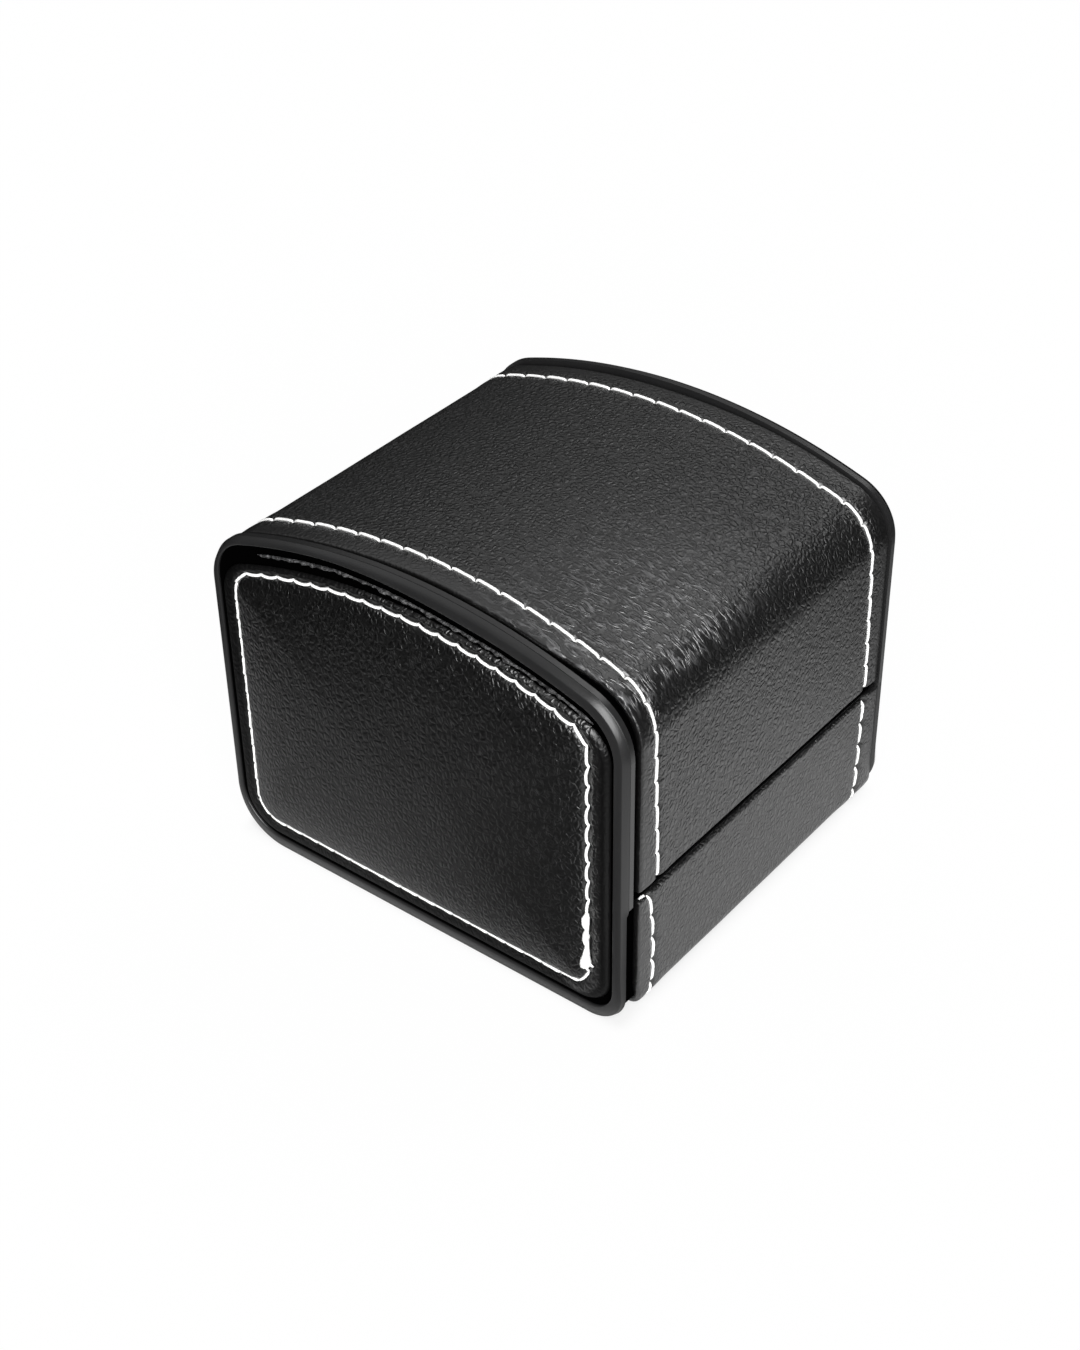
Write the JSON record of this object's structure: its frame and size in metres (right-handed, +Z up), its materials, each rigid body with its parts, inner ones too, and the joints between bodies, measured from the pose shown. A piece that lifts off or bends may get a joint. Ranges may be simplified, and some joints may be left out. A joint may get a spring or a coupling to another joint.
{
  "type": "pocket watch display box",
  "caption": "Arched-lid leather display box that opens at the front on concealed snap hinges, with a lift-out velvet pad that nests a pocket watch.",
  "frame": {"origin": "middle of the footprint, on the table the box stands on", "axes": "+Z up; the opening front faces -Y and the hinges are on +Y; the end plates face -X and +X"},
  "size_m": [0.094, 0.1, 0.082],
  "materials": {
    "black_leather": "satin embossed PU leather with a fine pebble grain",
    "black_plastic": "satin moulded ABS",
    "board": "grey board",
    "foam": "dark polyurethane foam sheet",
    "velvet": "short-pile velvet",
    "felt": "flocked felt",
    "hinge_steel": "nickel-plated spring steel"
  },
  "bodies": {
    "base": {"base_felt": "felt", "base_hinge_rivets": "hinge_steel", "base_leather": "black_leather", "base_liner": "velvet", "base_shell": "black_plastic", "left_hinge_base_leaf": "hinge_steel", "left_hinge_pin": "hinge_steel", "left_snap_spring": "hinge_steel", "right_hinge_base_leaf": "hinge_steel", "right_hinge_pin": "hinge_steel", "right_snap_spring": "hinge_steel"},
    "lid": {"left_end_plate": "black_plastic", "left_hinge_lid_leaf": "hinge_steel", "left_lid_end_lining": "velvet", "left_panel_board": "board", "left_panel_foam": "foam", "left_panel_leather": "black_leather", "lid_arch_lining": "velvet", "lid_hinge_rivets": "hinge_steel", "lid_leather": "black_leather", "lid_shell": "black_plastic", "right_end_plate": "black_plastic", "right_hinge_lid_leaf": "hinge_steel", "right_lid_end_lining": "velvet", "right_panel_board": "board", "right_panel_foam": "foam", "right_panel_leather": "black_leather"},
    "pad": {"pad_board": "board", "pad_foam": "foam", "pad_velvet": "velvet"}
  },
  "joints": [
    {"name": "lid_hinge", "type": "hinge", "parent": "base", "child": "lid", "pos_m": [0, 0.0476, 0.0295], "axis": [-1, 0, 0], "range_deg": [0, 95]},
    {"name": "pad_lift", "type": "slide", "parent": "base", "child": "pad", "axis": [0, 0, 1], "range_m": [0, 0.028]}
  ]
}
